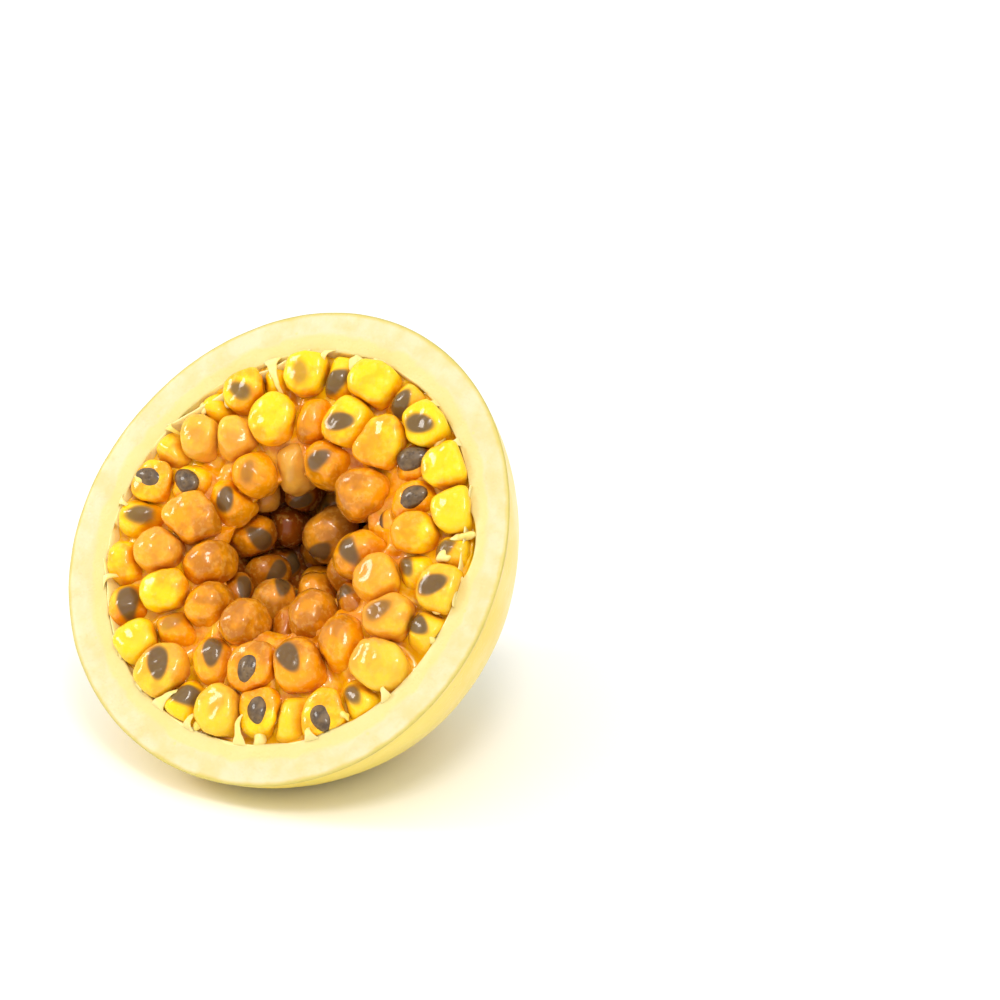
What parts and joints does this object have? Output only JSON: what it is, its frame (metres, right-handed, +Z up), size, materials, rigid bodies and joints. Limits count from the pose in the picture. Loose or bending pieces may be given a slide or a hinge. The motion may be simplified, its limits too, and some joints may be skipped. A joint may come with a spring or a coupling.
{
  "type": "halved passion fruit",
  "caption": "Half of a yellow passion fruit, cut across, showing juicy orange seed sacs round a hollow inside a thick pale rind.",
  "frame": {"origin": "middle of the flat it rests on, under the rind", "axes": "+Z up; the cut face looks up and towards -Y, leaning back 50 degrees from level; the stem end is towards +Y"},
  "size_m": [0.0724, 0.061, 0.0628],
  "materials": {
    "rind": "satin",
    "stem": "matte",
    "juice_sac": "gloss",
    "deep_juice": "gloss",
    "seed_coat": "gloss"
  },
  "bodies": {
    "root": {"aril_01": "juice_sac", "aril_02": "juice_sac", "aril_03": "juice_sac", "aril_04": "juice_sac", "aril_05": "juice_sac", "aril_06": "juice_sac", "aril_07": "juice_sac", "aril_08": "juice_sac", "aril_09": "juice_sac", "aril_10": "juice_sac", "aril_11": "juice_sac", "aril_12": "juice_sac", "aril_13": "juice_sac", "aril_14": "juice_sac", "aril_15": "juice_sac", "aril_16": "juice_sac", "aril_17": "juice_sac", "aril_18": "juice_sac", "aril_19": "juice_sac", "aril_20": "juice_sac", "aril_21": "juice_sac", "aril_22": "juice_sac", "aril_23": "juice_sac", "aril_24": "juice_sac", "aril_25": "juice_sac", "aril_26": "juice_sac", "aril_27": "juice_sac", "aril_28": "juice_sac", "aril_29": "juice_sac", "aril_30": "juice_sac", "aril_31": "juice_sac", "aril_32": "juice_sac", "aril_33": "juice_sac", "aril_34": "juice_sac", "aril_35": "juice_sac", "aril_36": "juice_sac", "aril_37": "juice_sac", "aril_38": "juice_sac", "aril_39": "juice_sac", "aril_40": "juice_sac", "aril_41": "juice_sac", "aril_42": "juice_sac", "aril_43": "juice_sac", "aril_44": "juice_sac", "aril_45": "juice_sac", "aril_46": "juice_sac", "aril_47": "juice_sac", "aril_48": "juice_sac", "aril_49": "juice_sac", "deep_arils": "deep_juice", "rind_half": "rind", "seed_03": "seed_coat", "seed_10": "seed_coat", "seed_17": "seed_coat", "seed_24": "seed_coat", "seed_31": "seed_coat", "seed_38": "seed_coat", "seed_45": "seed_coat", "stem_stub": "stem"}
  },
  "joints": []
}
